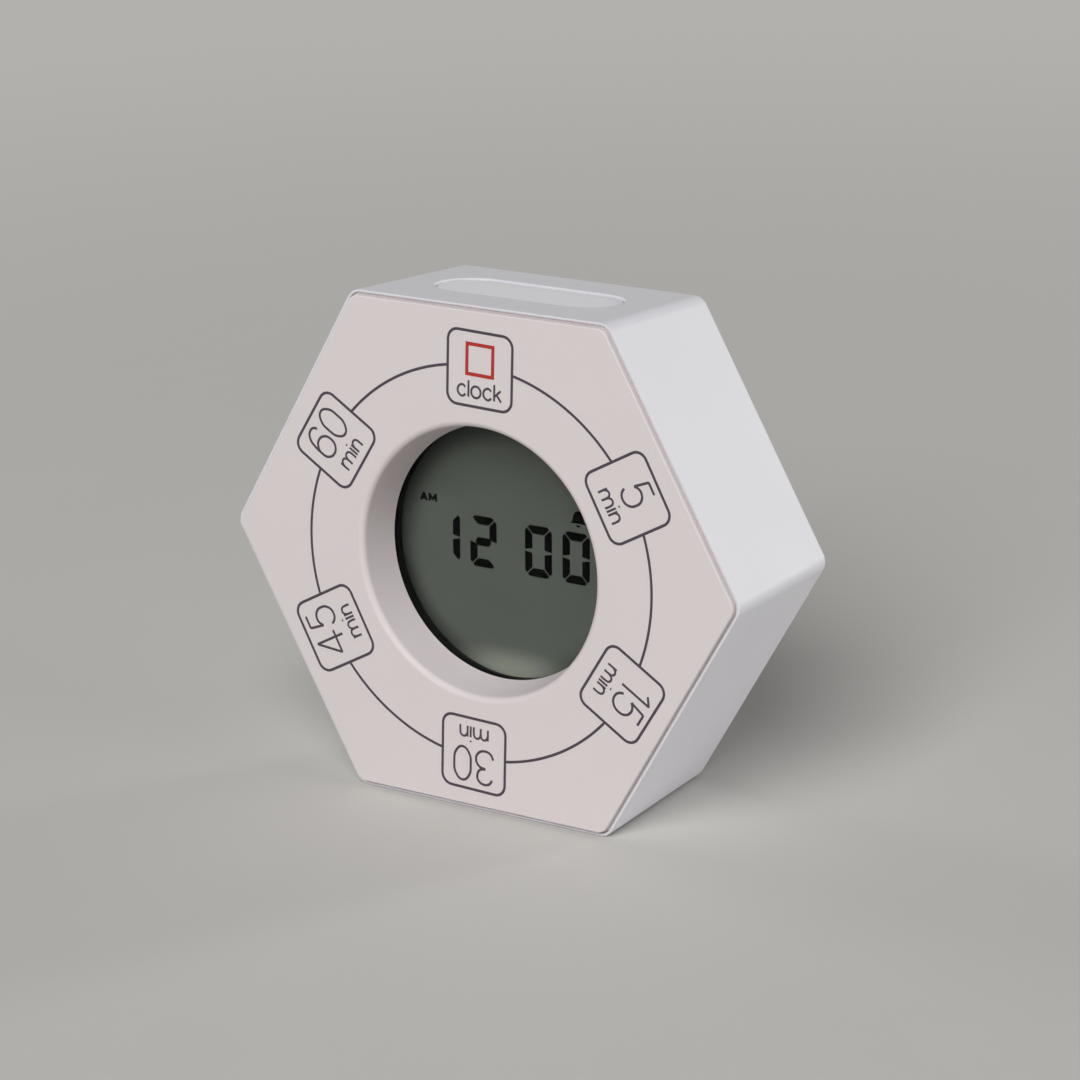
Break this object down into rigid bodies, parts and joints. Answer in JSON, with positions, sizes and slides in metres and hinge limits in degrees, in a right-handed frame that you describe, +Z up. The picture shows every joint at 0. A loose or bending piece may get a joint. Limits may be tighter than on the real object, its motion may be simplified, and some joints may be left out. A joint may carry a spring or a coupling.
{
  "type": "hexagonal timer",
  "caption": "Hexagonal table timer that stands on any side to pick clock or a countdown, with a round display in a deep well, a top press bar, rear keys and a battery door.",
  "frame": {"origin": "middle of the flat side that the timer stands on when it shows the clock", "axes": "+Z up from that side, +Y from the display towards the back, +X to the right seen from the display side"},
  "size_m": [0.0984, 0.0351, 0.0859],
  "materials": {
    "case_white": "satin moulded ABS, fine spark texture",
    "panel_white": "satin moulded ABS with printed dial",
    "lens_clear": "clear polished acrylic",
    "lcd_glass": "grey-green reflective display glass",
    "black_plastic": "black moulded plastic",
    "grey_plastic": "grey moulded plastic",
    "guide_milky": "milky light guide",
    "board_green": "green solder mask",
    "contact_rubber": "layered conductive rubber",
    "steel": "nickel-plated steel",
    "brass": "rolled brass disc",
    "ceramic": "fired ceramic and silver film",
    "cell_jacket": "plain printed jacket, set to the mass of an alkaline cell",
    "lead_red": "red insulated lead",
    "lead_black": "black insulated lead"
  },
  "bodies": {
    "case": {"body_shell": "case_white", "front_panel": "panel_white", "lens_window": "lens_clear", "lcd_frame": "black_plastic", "lcd_glass": "lcd_glass", "strip_upper": "contact_rubber", "strip_lower": "contact_rubber", "backlight_guide": "guide_milky", "backlight_led": "ceramic", "main_board": "board_green", "chip_cap": "black_plastic", "crystal_can": "steel", "sensor_cup": "black_plastic", "sensor_lid": "grey_plastic", "buzzer_plate": "brass", "buzzer_element": "ceramic", "cell_upper": "cell_jacket", "cell_lower": "cell_jacket", "contact_positive": "steel", "contact_negative": "steel", "contact_bridge": "steel", "spring_negative": "steel", "spring_bridge": "steel", "snooze_spring_left": "steel", "snooze_spring_right": "steel", "snooze_switch": "black_plastic", "sound_switch": "black_plastic", "wire_positive": "lead_red", "wire_negative": "lead_black", "wire_buzzer_left": "lead_red", "wire_buzzer_right": "lead_black", "key_switch_set": "black_plastic", "key_switch_up": "black_plastic", "key_switch_down": "black_plastic", "board_screw_1": "steel", "case_screw_1": "steel", "board_screw_2": "steel", "case_screw_2": "steel", "board_screw_3": "steel", "case_screw_3": "steel", "board_screw_4": "steel", "case_screw_4": "steel"},
    "battery_door": {"battery_door": "case_white"},
    "set_key": {"button_set": "grey_plastic", "key_plunger_set": "grey_plastic"},
    "up_key": {"button_up": "grey_plastic", "key_plunger_up": "grey_plastic"},
    "down_key": {"button_down": "grey_plastic", "key_plunger_down": "grey_plastic"},
    "press_bar": {"snooze_bar": "case_white", "snooze_plunger": "grey_plastic"},
    "sound_slider": {"sound_slider": "grey_plastic"},
    "sensor_ball": {"sensor_ball": "steel"}
  },
  "joints": [
    {"name": "battery_door_hinge", "type": "hinge", "parent": "case", "child": "battery_door", "pos_m": [0, 0.01652, 0.02722], "axis": [-1, 0, 0], "range_deg": [0, 100]},
    {"name": "set_key_press", "type": "slide", "parent": "case", "child": "set_key", "axis": [0, -0.9991, 0.0426], "range_m": [0, 0.0006], "stiffness_N_per_m": 1500},
    {"name": "up_key_press", "type": "slide", "parent": "case", "child": "up_key", "axis": [0, -0.9991, 0.0426], "range_m": [0, 0.0006], "stiffness_N_per_m": 1500},
    {"name": "down_key_press", "type": "slide", "parent": "case", "child": "down_key", "axis": [0, -0.9991, 0.0426], "range_m": [0, 0.0006], "stiffness_N_per_m": 1500},
    {"name": "press_bar_push", "type": "slide", "parent": "case", "child": "press_bar", "axis": [0, -0.0851, -0.9964], "range_m": [0, 0.0006], "stiffness_N_per_m": 1500, "deforming": ["snooze_spring_left", "snooze_spring_right"]},
    {"name": "sound_slide", "type": "slide", "parent": "case", "child": "sound_slider", "axis": [1, 0, 0], "range_m": [0, 0.004]},
    {"name": "sensor_ball_roll", "type": "hinge", "parent": "case", "child": "sensor_ball", "pos_m": [-0.02, 0.00573, 0.02057], "axis": [0, 0.9991, -0.0426], "continuous": true}
  ]
}
